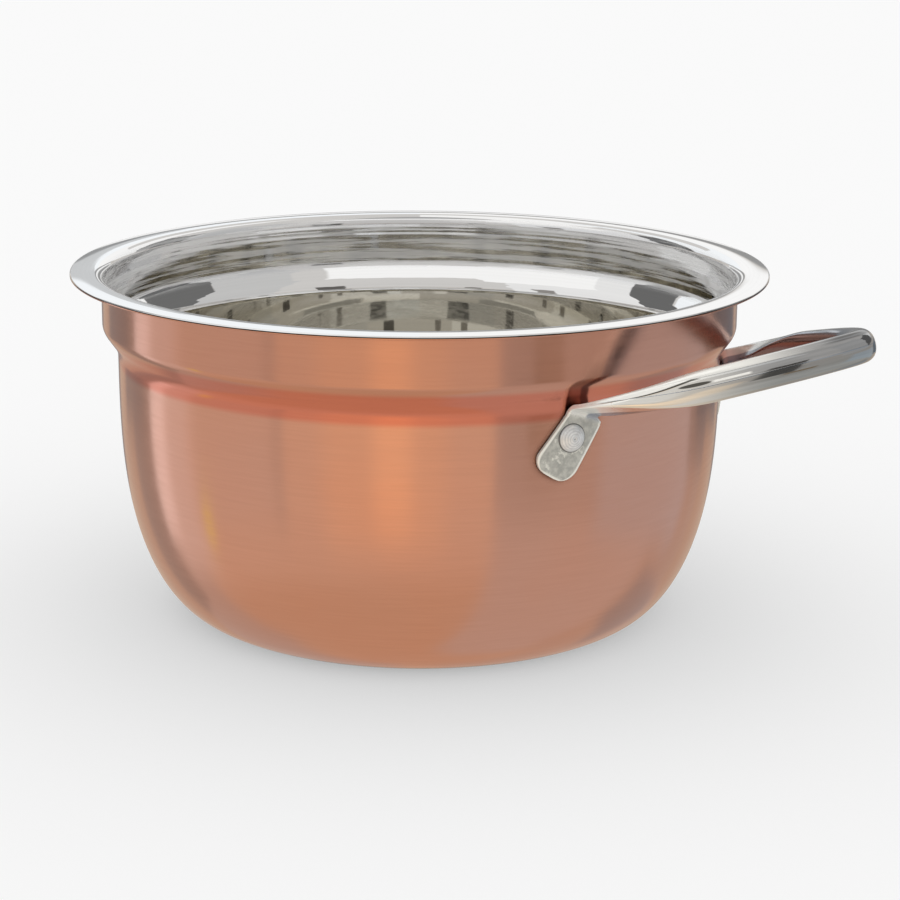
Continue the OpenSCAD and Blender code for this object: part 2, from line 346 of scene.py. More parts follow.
def half_rings(side):
    """The rings of one tab, its fold and its leg; the tab's crowd together at its round end."""
    tab = [tab_ring(TAB_LENGTH * mix(k ** 2, k, EVEN_SHARE) - rivet_inset, side)
           for k in (i / TAB_RINGS for i in range(TAB_RINGS + 1))]
    fold = [fold_ring(fold_end * i / FOLD_RINGS, side) for i in range(1, FOLD_RINGS + 1)]
    leg = [leg_ring(i / LEG_RINGS, side) for i in range(1, LEG_RINGS + 1)]
    return tab + fold + leg


def press_crease(rings, middle, from_tip):
    """Moves the vertices along the crease of each leg inwards."""
    for ring, centre, far in zip(rings, middle, from_tip):
        line = float(np.interp(far, (CREASE_NEAR, CREASE_FAR), CREASE_TURN))
        ends = (eased((far - CREASE_NEAR + CREASE_FADE) / CREASE_FADE)
                * eased((CREASE_FAR + CREASE_FADE - far) / CREASE_FADE))
        for i in range(RING):
            over = (i / RING - round(i / RING) - line) / CREASE_SPREAD
            inwards = unit(centre - ring[i])
            ring[i] = ring[i] + inwards * CREASE_DEPTH * ends * math.exp(-over * over)


def make_handle():
    rear, front = half_rings(1), half_rings(-1)
    rings = rear + front[-2::-1]
    middle = [sum(r) / len(r) for r in rings]
    run = [0.0]
    for a, b in zip(middle, middle[1:]):
        run.append(run[-1] + float(np.linalg.norm(b - a)))
    whole, tip = run[-1], run[len(rear) - 1]
    press_crease(rings, middle, [abs(r - tip) for r in run])
    verts = [p for ring in rings for p in ring] + [middle[0], middle[-1]]
    uvs = [(r / UV_LENGTH, i / RING) for r in run for i in range(RING)]
    uvs += [(0, 0.5), (whole / UV_LENGTH, 0.5)]
    last = (len(rings) - 1) * RING
    faces = []
    for j in range(len(rings) - 1):
        for i in range(RING):
            n = (i + 1) % RING
            faces.append([j * RING + i, j * RING + n, (j + 1) * RING + n, (j + 1) * RING + i])
    for i in range(RING):
        n = (i + 1) % RING
        faces.append([last + RING, n, i])
        faces.append([last + RING + 1, last + i, last + n])
    ob = mesh_object("loop_handle", verts, faces, uvs=uvs)
    each = [r for r in run for i in range(RING)]
    point_values(ob, "from_end", [min(r, whole - r) for r in each] + [0.0, 0.0])
    point_values(ob, "from_tip", [abs(r - tip) for r in each] + [tip, whole - tip])
    return ob


# ---------------------------------------------------------------- rivets
def rivet_height(side):
    return rivet_z - side * body_r * math.sin(math.radians(RIVET_ANGLE)) * math.tan(tilt)


def make_rivet(name, side):
    outside = wall_r(rivet_height(side))
    foot_face = math.sqrt((outside - wall_t) ** 2 - (FOOT_D / 2) ** 2) - SEAT_GAP
    head_face = outside + SEAT_GAP * 2 + TAB_T
    dome = ((HEAD_D / 2) ** 2 + HEAD_H ** 2) / (2 * HEAD_H)
    line = [(0.0, foot_face - FOOT_H), (FOOT_D / 2, foot_face - FOOT_H),
            (FOOT_D / 2, foot_face), (SHANK_D / 2, foot_face), (SHANK_D / 2, head_face)]
    line = rounded(line, 1, FOOT_ROUND)
    for i in range(HEAD_STEPS + 1):
        r = HEAD_D / 2 * (1 - i / HEAD_STEPS)
        h = math.sqrt(dome ** 2 - r ** 2) - dome + HEAD_H
        rings = SET_DEPTH * math.sin(r * SET_RATE) * (1 if r < SET_REACH else 0)
        dimple = DIMPLE_DEPTH * math.exp(-(r / DIMPLE_R) ** 2)
        line.append((r, head_face + max(h - dimple - HEAD_SINK + rings, 0.0)))
    ob = lathe(name, line, segments=RIVET_SEGMENTS, closed=False)
    point_values(ob, "across", [math.hypot(v.co.x, v.co.y) / MM for v in ob.data.vertices])
    turn = (Matrix.Rotation(side * math.radians(RIVET_ANGLE), 4, "Z")
            @ Matrix.Translation((0, 0, rivet_height(side) * MM))
            @ Matrix.Rotation(math.pi / 2, 4, "Y"))
    ob.data.transform(turn)
    ob.data.update()
    return ob


# ---------------------------------------------------------------- node helpers
FALLING = (1.0, 0.0)


def metres(millimetres):
    return [v * MM for v in millimetres]


class Nodes:
    """Short calls that add nodes to one tree."""

    def __init__(self, tree):
        self.tree = tree

    def add(self, kind, *inputs, **settings):
        node = self.tree.nodes.new(kind)
        for key, value in settings.items():
            setattr(node, key, value)
        for i, value in enumerate(inputs):
            if value is not None:
                self.put(node.inputs[i], value)
        return node

    def put(self, socket, value):
        if isinstance(value, bpy.types.NodeSocket):
            self.tree.links.new(value, socket)
        else:
            socket.default_value = value

    def math(self, op, *inputs):
        return self.add("ShaderNodeMath", *inputs, operation=op).outputs[0]

    def times(self, a, b):
        return self.math("MULTIPLY", a, b)

    def ramp(self, value, low, high, a=0.0, b=1.0):
        """a at low, b at high, eased between them."""
        return self.add("ShaderNodeMapRange", value, low, high, a, b,
                        interpolation_type="SMOOTHSTEP").outputs[0]

    def window(self, value, low, high, soft):
        """1 inside low..high, falling to 0 over soft outside it."""
        return self.times(self.ramp(value, low - soft, low),
                          self.ramp(value, high, high + soft, *FALLING))

    def mix(self, factor, a, b, blend="MIX"):
        node = self.add("ShaderNodeMix", data_type="RGBA", blend_type=blend)
        for socket, value in ((node.inputs[0], factor), (node.inputs[6], a), (node.inputs[7], b)):
            self.put(socket, value)
        return node.outputs[2]

    def stretched(self, vector, scale):
        return self.add("ShaderNodeMapping", vector, None, None, scale).outputs[0]

    def noise(self, vector, scale, detail=2.0, rough=0.5):
        return self.add("ShaderNodeTexNoise", vector, None, scale, detail, rough).outputs["Fac"]

    def axes(self, vector):
        return self.add("ShaderNodeSeparateXYZ", vector).outputs

    def on_x(self, value):
        return self.add("ShaderNodeCombineXYZ", value).outputs[0]

    def attribute(self, name):
        return self.add("ShaderNodeAttribute", attribute_name=name,
                        attribute_type="GEOMETRY").outputs["Fac"]

    def bump(self, height, distance, normal=None):
        node = self.add("ShaderNodeBump", 1.0, distance)
        self.put(node.inputs["Height"], height)
        if normal is not None:
            self.put(node.inputs["Normal"], normal)
        return node.outputs[0]


def metal(name, rough):
    mat = bpy.data.materials.new(name)
    mat.use_nodes = True
    nodes = Nodes(mat.node_tree)
    shader = mat.node_tree.nodes["Principled BSDF"]
    shader.inputs["Metallic"].default_value = 1.0
    shader.inputs["Roughness"].default_value = rough
    place = nodes.add("ShaderNodeTexCoord").outputs["Object"]
    return mat, nodes, shader, place


# ---------------------------------------------------------------- colours, linear
COPPER_WARM, COPPER_PALE = (0.735, 0.385, 0.282, 1), (0.725, 0.395, 0.297, 1)
# a redder copper painted into the shoulder's hollow as a reflection, and a dark for painted contact
# shade
COPPER_RED_REFLECTION, CONTACT_PAINTED_SHADE = (0.725, 0.262, 0.182, 1), (0.10, 0.03, 0.02, 1)
# painted shade for the copper neck under the flange; the brush lines' own tone
NECK_PAINTED_SHADE, LINE_TINT = (0.90, 0.885, 0.885, 1), (0.965, 0.955, 0.95, 1)
STEEL, STEEL_DULL = (0.91, 0.905, 0.895, 1), (0.87, 0.865, 0.855, 1)
# painted shade for the steel's upright neck, and a painted warm reflection for its lower wall
UPRIGHT_PAINTED_SHADE, LOWER_PAINTED_REFLECTION = (0.84, 0.845, 0.86, 1), (0.86, 0.845, 0.80, 1)
SEAM = (0.05, 0.035, 0.03, 1)
# the grip's grey is a painted darker reflection, the pale cream a painted highlight by the folds,
# the cool tint a painted reflection underneath
GRIP_REFLECTION_GREY, GRIP_REFLECTION_DULL = (0.45, 0.45, 0.45, 1), (0.40, 0.40, 0.40, 1)
LEG_HIGHLIGHT, LEG_HIGHLIGHT_DULL, COOL_REFLECTION_TINT = (1.0, 0.98, 0.92, 1), (0.94, 0.92, 0.86, 1), (0.92, 0.97, 0.98, 1)
# painted shade for the handle's inner side, and a painted dark reflection for its nose
INNER_PAINTED_SHADE, NOSE_DARK_REFLECTION = (0.36, 0.39, 0.44, 1), (0.20, 0.20, 0.20, 1)
# painted shade in the crease, also the painted dark reflection of the lens
CREASE_SHADE_LENS_REFLECTION = (0.13, 0.125, 0.11, 1)
# the tabs' edge colour is a painted highlight along the edges and also the colour of the scratches
TAB_GREY, TAB_DULL, TAB_SCRATCH_AND_EDGE_HIGHLIGHT = (0.60, 0.59, 0.53, 1), (0.42, 0.415, 0.375, 1), (0.93, 0.91, 0.82, 1)
RIVET_PALE, RIVET_GREY = (0.93, 0.93, 0.92, 1), (0.78, 0.785, 0.78, 1)
# the rivet line colour also paints shade in the centre dimple; the foot colour is painted shade
# round the head
RIVET_LINE_AND_DIMPLE_SHADE, RIVET_FOOT_SHADE = (0.42, 0.42, 0.42, 1), (0.10, 0.10, 0.10, 1)

# ---------------------------------------------------------------- materials
# Heights on the kettle: from, to and how softly they end, in millimetres
hollow_reflection_band = body_top_z - 0.5, neck_foot_z - 4, 2.2
upright_band = neck_foot_z - 1, HEIGHT - 2.5, 2
# ... and where the painted neck shade, the painted warm reflection low in the steel and the seam
# under the steel edge come in and go out
neck_shade_z, lower_reflection_z = (neck_foot_z - 5, neck_foot_z), (body_top_z - 4, body_top_z)
seam_r, seam_z = (rim_r - 0.20, rim_r - 0.08), (HEIGHT - 0.38, HEIGHT - 0.26)
# Lines that run round and round the kettle: noise per metre sideways, sideways and upwards
BRUSH_LINES, BRUSH_BANDS = (60, 60, 2400), (14, 14, 700)
STEEL_SCRATCHES, STEEL_STREAKS = (60, 60, 1500), (22, 22, 650)
# ... and along the grip, per unit of its UV map: along, round
GRIP_STREAKS = (5, 40, 1)
# Other noise scales, per metre
CLOUD, RINGS, WAVES, RIPPLES = 26.0, 900.0, 160.0, 420.0
DENTS, MOTTLE, SCRATCHES, GRAIN, WANDER = 90.0, 420.0, 260.0, 900.0, 300.0
# The part of a noise's range over which one look gives way to another: wide, or narrow for edges
SPREAD, BRUSH_SPREAD, MOTTLE_SPREAD = (0.3, 0.7), (0.25, 0.75), (0.35, 0.65)
STREAK_SPREAD, SCRATCH_SPREAD = (0.42, 0.55), (0.58, 0.64)
# Roughness, from and to
COPPER_ROUGH, STEEL_ROUGH, UPRIGHT_ROUGH = (0.15, 0.20), (0.012, 0.035), 0.035
GRIP_ROUGH, LEG_ROUGH, TAB_ROUGH, RIVET_ROUGH = (0.06, 0.10), 0.09, (0.30, 0.42), (0.35, 0.50)
# Bump heights, in metres
LINE_BUMP, BAND_BUMP, RING_BUMP, WAVE_BUMP, RIPPLE_BUMP = 6e-7, 9e-7, 8e-7, 1e-5, 4e-5
GROOVE_BUMP, STREAK_BUMP, DENT_BUMP, WORN_BUMP = -5e-5, 2e-6, 2e-5, 6e-5
GRAIN_BUMP, SET_BUMP = 2e-5, 3e-5
# How near another piece the copper darkens with painted contact shade, in metres, and over which
# share of open sky
CONTACT_REACH, CONTACT_SHARE = 0.0022, (0.42, 0.92)
# How much of a steel surface is pale satin rather than mirror, and the rivets' metallic share
SHEEN_SATIN, CREST_SATIN, GLINT_SATIN, FOLD_SATIN, RIVET_SHINE = 0.60, 0.62, 0.6, 0.6, 0.6

# Marks on the handle (painted highlights, shade and dark reflections, and a satin fold):
# millimetres from the tip of the loop ...
LEG_HIGHLIGHT_RUN, CREST_RUN, SATIN_FOLD = (26, 62), (10, 42), (68, 78)
NOSE_RUN, GLINT_RUN = (8, 16), (37, 46)
LENS_AT, LENS_LENGTH = 51.5, 4.6
# ... and turns round its section: 0 on the outer side, -0.25 on top, 0.25 underneath, 0.5 inside
LENS_TURN, LENS_WIDTH = -0.043, 0.017
GLINT_TURN, NOSE_TURN = (-0.048, -0.034), (-0.27, -0.13)
UNDER_TURN, INNER_TURN = (-0.02, 0.1), (0.265, 0.29)
CREST_TOP, CREST_EDGE, CREASE_BAND = -0.26, (-0.012, 0.002), (-0.005, 0.006)
# The lens, a painted dark reflection, fades out between these shares of its size
LENS_EDGE = (0.7, 1.1)

# Marks on the tabs: how far past the fold's start they fade, the painted highlight on the edge at
# the end in millimetres and along the sides in cosines of the turn, and how strong the scratches
# are
TAB_FADE, END_EDGE, SIDE_EDGE, SCRATCH_SHARE = 3.5, (0.3, 0.9), (0.665, 0.70), 0.6
# Marks on the rivets: the painted shade at the foot and in the centre dimple, in millimetres from
# the axis, the rings' waver, where in a wave they darken and how much
HEAD_FOOT, HEAD_CENTRE = (3.6, 4.05), (0.1, 0.4)
SET_WAVER, SET_WAVE, SET_SHADE = 3.0, (-0.6, 0.9), 0.35


def satin_copper():
    """Copper brushed round and round, with a painted red reflection in the shoulder's hollow,
    painted shade on the neck under the flange and painted contact shade.
    """
    mat, n, shader, place = metal("satin_copper", 0.2)
    shader.inputs["Anisotropic"].default_value = 0.7
    shader.inputs["Anisotropic Rotation"].default_value = 0.25
    tangent = n.add("ShaderNodeTangent", direction_type="RADIAL", axis="Z").outputs[0]
    n.put(shader.inputs["Tangent"], tangent)
    height = n.axes(place)[2]
    hollow = n.window(height, *metres(hollow_reflection_band))
    on_neck = n.ramp(height, *metres(neck_shade_z))
    lines = n.noise(n.stretched(place, BRUSH_LINES), 1.0, 2.0, 0.6)
    bands = n.noise(n.stretched(place, BRUSH_BANDS), 1.0, 2.0)
    cloud = n.noise(place, CLOUD, 3.0)
    colour = n.mix(n.ramp(cloud, *SPREAD), COPPER_WARM, COPPER_PALE)
    # painted reflection: redder, darker copper in the shoulder's hollow
    colour = n.mix(hollow, colour, COPPER_RED_REFLECTION)
    # painted shade on the neck under the flange
    colour = n.mix(on_neck, colour, NECK_PAINTED_SHADE, "MULTIPLY")
    colour = n.mix(n.ramp(lines, *BRUSH_SPREAD), colour, LINE_TINT, "MULTIPLY")
    # painted contact shade where another piece comes near
    near = n.add("ShaderNodeAmbientOcclusion", None, CONTACT_REACH, samples=6).outputs["AO"]
    colour = n.mix(n.ramp(near, *CONTACT_SHARE), CONTACT_PAINTED_SHADE, colour)
    n.put(shader.inputs["Base Color"], colour)
    n.put(shader.inputs["Roughness"], n.ramp(bands, *BRUSH_SPREAD, *COPPER_ROUGH))
    n.put(shader.inputs["Normal"], n.bump(lines, LINE_BUMP, n.bump(bands, BAND_BUMP)))
    return mat


def spun_steel():
    """Polished steel with the faint rings that spinning leaves; painted shade darkens its upright
    neck between pale satin streaks, and a painted warm reflection tints its lower wall.
    """
    mat, n, shader, place = metal("polished_steel", 0.04)
    x, y, z = n.axes(place)
    radius = n.math("SQRT", n.math("ADD", n.times(x, x), n.times(y, y)))
    along = n.math("SUBTRACT", radius, z)
    rings = n.noise(n.on_x(along), RINGS, 3.0, 0.6)
    waves = n.noise(n.on_x(along), WAVES, 1.0)
    ripples = n.noise(n.on_x(along), RIPPLES, 1.0)
    scratches = n.noise(n.stretched(place, STEEL_SCRATCHES), 1.0, 2.0)
    streaks = n.noise(n.stretched(place, STEEL_STREAKS), 1.0, 3.0, 0.6)
    upright = n.window(z, *metres(upright_band))
    lower = n.ramp(z, *metres(lower_reflection_z), *FALLING)
    sheen = n.ramp(streaks, *STREAK_SPREAD)
    colour = n.mix(n.ramp(rings, *SPREAD), STEEL, STEEL_DULL)
    # painted shade on the upright neck, left off in the satin streaks
    upright_shade = n.times(upright, n.math("SUBTRACT", 1.0, sheen))
    colour = n.mix(upright_shade, colour, UPRIGHT_PAINTED_SHADE, "MULTIPLY")
    # painted warm reflection on the lower wall
    colour = n.mix(lower, colour, LOWER_PAINTED_REFLECTION, "MULTIPLY")
    seam = n.times(n.ramp(radius, *metres(seam_r)), n.ramp(z, *metres(seam_z), *FALLING))
    n.put(shader.inputs["Base Color"], n.mix(seam, colour, SEAM))
    satin = n.times(n.times(upright, sheen), SHEEN_SATIN)
    n.put(shader.inputs["Metallic"], n.math("SUBTRACT", 1.0, satin))
    rough = n.math("ADD", n.ramp(scratches, *SPREAD, *STEEL_ROUGH), n.times(upright, UPRIGHT_ROUGH))
    n.put(shader.inputs["Roughness"], rough)
    gentle = n.bump(rings, RING_BUMP, n.bump(waves, WAVE_BUMP))
    n.put(shader.inputs["Normal"], n.bump(n.times(ripples, upright), RIPPLE_BUMP, gentle))
    return mat


def forged_steel():
    """Handle steel: a painted cream highlight by the folds and a painted grey reflection along the
    grip, with a crease and worn tabs.
    """
    mat, n, shader, place = metal("handle_steel", 0.1)
    uv = n.add("ShaderNodeUVMap", uv_map="surface").outputs[0]
    end, far = n.attribute("from_end"), n.attribute("from_tip")
    share = n.axes(uv)[1]
    turn = n.math("SUBTRACT", share, n.math("ROUND", share))
    streaks = n.noise(n.stretched(uv, GRIP_STREAKS), 1.0, 3.0)
    dents = n.noise(place, DENTS, 2.0)
    mottle = n.noise(place, MOTTLE, 4.0, 0.65)
    fine = n.ramp(streaks, *SPREAD)
    by_fold = n.ramp(far, *LEG_HIGHLIGHT_RUN)
    by_grip = n.math("SUBTRACT", 1.0, by_fold)

    # the legs and the grip, with painted highlights, a painted cool reflection underneath, painted
    # shade on the inner side and in the crease, and painted dark reflections on the nose and in the
    # lens
    # painted highlight by the folds, fading to a painted darker reflection along the grip
    grip = n.mix(by_fold, n.mix(fine, GRIP_REFLECTION_GREY, GRIP_REFLECTION_DULL), n.mix(fine, LEG_HIGHLIGHT, LEG_HIGHLIGHT_DULL))
    # painted cool reflection on the grip's underside
    under = n.times(n.ramp(turn, *UNDER_TURN), by_grip)
    grip = n.mix(under, grip, COOL_REFLECTION_TINT, "MULTIPLY")
    crease_at = n.add("ShaderNodeMapRange", far, CREASE_NEAR, CREASE_FAR, *CREASE_TURN).outputs[0]
    over = n.math("SUBTRACT", turn, crease_at)
    # painted highlight along the crest
    crest_highlight = n.times(n.window(turn, CREST_TOP, 1.0, 0.02), n.ramp(over, *CREST_EDGE, *FALLING))
    crest_highlight = n.times(crest_highlight, n.ramp(far, *CREST_RUN))
    grip = n.mix(crest_highlight, grip, LEG_HIGHLIGHT)
    # painted shade on the inner side of the loop
    inner = n.ramp(n.math("ABSOLUTE", turn), *INNER_TURN)
    grip = n.mix(inner, grip, INNER_PAINTED_SHADE)
    # painted dark reflection along the top of the nose
    nose = n.times(n.window(turn, *NOSE_TURN, 0.02), n.ramp(far, *NOSE_RUN, *FALLING))
    grip = n.mix(nose, grip, NOSE_DARK_REFLECTION)
    # painted shade in the crease
    crease = n.times(n.window(over, *CREASE_BAND, 0.006),
                     n.window(far, CREASE_NEAR, CREASE_FAR, CREASE_FADE))
    grip = n.mix(crease, grip, CREASE_SHADE_LENS_REFLECTION)
    # the lens: a painted dark reflection
    lens_x = n.math("DIVIDE", n.math("SUBTRACT", far, LENS_AT), LENS_LENGTH)
    lens_y = n.math("DIVIDE", n.math("ADD", turn, -LENS_TURN), LENS_WIDTH)
    lens_r = n.math("ADD", n.times(lens_x, lens_x), n.times(lens_y, lens_y))
    grip = n.mix(n.ramp(lens_r, *LENS_EDGE, *FALLING), grip, CREASE_SHADE_LENS_REFLECTION)
    # painted glint
    glint = n.times(n.window(far, *GLINT_RUN, 1.5), n.window(turn, *GLINT_TURN, 0.006))
    grip = n.mix(glint, grip, LEG_HIGHLIGHT)

    # the tabs, mottled and scratched, with a painted highlight along the edge all round
    tab = n.ramp(end, TAB_LENGTH, TAB_LENGTH + TAB_FADE, *FALLING)
    worn = n.mix(n.ramp(mottle, *MOTTLE_SPREAD), TAB_GREY, TAB_DULL)
    scratches = n.ramp(n.noise(place, SCRATCHES, 5.0, 0.7), *SCRATCH_SPREAD)
    worn = n.mix(n.times(scratches, SCRATCH_SHARE), worn, TAB_SCRATCH_AND_EDGE_HIGHLIGHT)
    # painted highlight along the tab's edges
    to_edge = n.math("ABSOLUTE", n.math("COSINE", n.times(turn, 2 * math.pi)))
    rim = n.math("MAXIMUM", n.ramp(to_edge, *SIDE_EDGE), n.ramp(end, *END_EDGE, *FALLING))
    worn = n.mix(rim, worn, TAB_SCRATCH_AND_EDGE_HIGHLIGHT)
    n.put(shader.inputs["Base Color"], n.mix(tab, grip, worn))

    satin = n.math("MAXIMUM", n.times(crest_highlight, CREST_SATIN), n.times(glint, GLINT_SATIN))
    satin = n.math("MAXIMUM", satin, n.ramp(far, *SATIN_FOLD, 0.0, FOLD_SATIN))
    n.put(shader.inputs["Metallic"], n.math("SUBTRACT", 1.0, satin))
    polish = n.math("ADD", n.ramp(streaks, *SPREAD, *GRIP_ROUGH), n.times(by_fold, LEG_ROUGH))
    rough = n.ramp(mottle, *MOTTLE_SPREAD, *TAB_ROUGH)
    n.put(shader.inputs["Roughness"],
          n.math("ADD", n.times(tab, rough), n.times(n.math("SUBTRACT", 1.0, tab), polish)))
    groove = n.bump(crease, GROOVE_BUMP, n.bump(streaks, STREAK_BUMP, n.bump(dents, DENT_BUMP)))
    n.put(shader.inputs["Normal"], n.bump(n.times(mottle, tab), WORN_BUMP, groove))
    return mat


def rivet_steel():
    """Pale steel with the fine rings of the rivet set, and painted shade round the foot of the head
    and in its centre dimple.
    """
    mat, n, shader, place = metal("rivet_steel", 0.4)
    grain = n.noise(place, GRAIN, 3.0, 0.6)
    across = n.attribute("across")
    wander = n.math("ADD", n.times(across, SET_RATE), n.times(n.noise(place, WANDER), SET_WAVER))
    rings = n.ramp(n.math("SINE", wander), *SET_WAVE)
    colour = n.mix(n.ramp(grain, *SPREAD), RIVET_PALE, RIVET_GREY)
    colour = n.mix(n.times(rings, SET_SHADE), colour, RIVET_LINE_AND_DIMPLE_SHADE)
    # painted shade round the foot of the head
    colour = n.mix(n.ramp(across, *HEAD_FOOT), colour, RIVET_FOOT_SHADE)
    # painted shade in the centre dimple
    colour = n.mix(n.ramp(across, *HEAD_CENTRE, *FALLING), colour, RIVET_LINE_AND_DIMPLE_SHADE)
    n.put(shader.inputs["Base Color"], colour)
    n.put(shader.inputs["Metallic"], RIVET_SHINE)
    n.put(shader.inputs["Roughness"], n.ramp(grain, *SPREAD, *RIVET_ROUGH))
    n.put(shader.inputs["Normal"], n.bump(grain, GRAIN_BUMP, n.bump(rings, SET_BUMP)))
    return mat


# ---------------------------------------------------------------- the pieces
# Each with the angle past which its edges stay crisp, its material, CAD node and slot
bowl = lathe("steel_bowl", bowl_outline())
shell = lathe("copper_shell_skin", copper_outline())
handle = make_handle()
front_rivet = make_rivet("front_rivet_head", -1)
rear_rivet = make_rivet("rear_rivet_head", 1)
rivet_finish = rivet_steel()
for ob, angle, finish, node, slot in (
        (bowl, 40, spun_steel(), "bowl", "polished_steel"),
        (shell, 40, satin_copper(), "copper_shell", "copper"),
        (handle, 60, forged_steel(), "handle", "handle_steel"),
        (front_rivet, 50, rivet_finish, "front_rivet", "rivet_steel"),
        (rear_rivet, 50, rivet_finish, "rear_rivet", "rivet_steel")):
    mark_sharp(ob, angle)
    ob.data.materials.append(finish)
    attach(ob, "root")
    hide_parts(node)

# ---------------------------------------------------------------- light
scene = bpy.context.scene
scene.cycles.glossy_bounces = 24
scene.cycles.max_bounces = 28
scene.cycles.caustics_reflective = False
AZIMUTH = math.radians(31.0)


def grey(level, warm=0.0):
    return (level * (1 + warm), level, level * (1 - warm), 1.0)


# What polished surfaces see of the studio, as cards: from and to in degrees round the kettle,
# where 0 is the camera, 90 its right and 180 behind the kettle; from and to in degrees up;
# softness of the edge, brightness and warmth. Later cards cover earlier ones.
ALL_ROUND = (-400, 400)
CARDS = [
    # the table all round, warm and darker far below
    (*ALL_ROUND, -91, 0, 6, 0.65, 0.16),
    (*ALL_ROUND, -91, -48, 14, 0.555, 0.22),
    # things on it, low down, which the rounded lower body shows
    (34, 122, -80, -20, 8, 0.61, 0.05),
    (-172, -110, -60, -28, 8, 0.55, 0.07),
    (114, 172, -60, -28, 8, 0.54, 0.14),
    (118, 150, -46, -35, 5, 0.44, 0.00),
    (124, 142, -30, -15, 3, 0.50, 0.12),
    # bright and dark uprights round the camera, which the copper side draws out into bands
    (-92, -56, -24, 0, 4, 0.65, 0.10),
    (-51, 28, -25, 0, 1.2, 0.665, 0.18),
    (-56, -52, -26, 0, 1.2, 0.58, 0.10),
    (-30, 4, -26, 0, 12, 0.70, 0.25),
    (-12, -7, -24, 0, 9, 0.80, 0.32),
    (28.5, 76, -24, 0, 0.8, 0.53, 0.06),
    (76, 123, -24, 0, 8, 0.62, -0.07),
    (-113, -100, -30, 0, 10, 0.80, 0.01),
    (-122, -114, -24, 0, 6, 1.10, -0.05),
    (-141, -122, -40, 0, 1.0, 0.40, 0.06),
    (-165, -141, -40, 0, 2.0, 0.51, 0.20),
    (124, 142, -17, 0, 1.0, 0.37, 0.03),
    (142, 170, -30, 0, 2.0, 0.48, 0.20),
    # dark things that only the copper neck shows, as it looks a little higher than the body
    (-148, -127, -14.4, 0, 0.6, 0.34, 0.00),
    (129, 155, -14.2, 0, 0.6, 0.22, -0.16),
    (40.5, 51, -14.6, -9, 0.5, 0.25, 0.36),
    # the room: walls, and windows to the left, to the right and overhead
    (*ALL_ROUND, 3, 91, 3, 0.64, 0.02),
    (*ALL_ROUND, 0, 9, 2, 0.52, 0.06),
    (-105, -40, 5, 50, 1, 0.86, 0.00),
    (62, 104, 5, 50, 1, 0.58, 0.00),
    (-400, -60, 58, 91, 2, 1.00, 0.00),
    (-90, -32, 39, 70, 1.5, 1.00, 0.00),
    (-40, 48, 52, 66, 1.5, 1.00, 0.00),
    (-50, 50, 66, 91, 4, 0.42, 0.00),
    # the two dark panels on the shoulder inside, each with a bright sheet beyond it
    (-127, -104, 7, 41, 0.6, 0.15, 0.00),
    (104, 135, 7, 37, 0.6, 0.16, 0.00),
    (-150, -129, 10, 60, 1, 1.00, -0.03),
    (136, 156, 10, 60, 1, 1.00, 0.00),
    # what the flat flange shows: the far wall, with a dark line across it
    (-400, -150, 10.4, 26, 0.6, 1.00, -0.03),
    (156, 400, 10.4, 26, 0.6, 1.00, 0.00),
    (-400, -160, 4, 8.2, 0.4, 0.92, 0.00),
    (160, 400, 4, 8.2, 0.4, 0.92, 0.00),
    (-400, -160, 8.5, 9.7, 0.3, 0.32, -0.02),
    (-174, -150, 9.7, 10.7, 0.4, 0.62, -0.02),
    (160, 400, 8.5, 9.7, 0.3, 0.32, 0.00),
    # small dark panels either side of the camera; the handle's dark patch is the second
    (-58, -50, 7, 19, 1.0, 0.27, 0.05),
    (31, 42, -8, 20, 0.5, 0.12, 0.05),
    (-25, -19, 6, 12, 1.0, 0.24, 0.05),
    # the dark foot of the far wall
    (-400, -162, -16, 5, 1.5, 0.30, 0.00),
    (162, 400, -16, 5, 1.5, 0.30, 0.00),
]
SKY = 0.9
# The yellow leaf on the copper's left side: sideways, up, softness and colour
LEAF_SIDE, LEAF_UP, LEAF_SOFT, LEAF_YELLOW = (-93, -90), (-29, -24), 2, (0.92, 0.92, 0.33, 1)
# The cards' edges waver by this many degrees sideways and upwards, above a height in degrees
WAVER_SIDE, WAVER_UP, WAVER_SCALE, WAVER_ABOVE = 12.0, 8.0, 6.0, (9, 15)
# Brightness of the backdrop for the camera, and of the light on everything that isn't glossy
BACKDROP, FILL = 0.98, 1.0


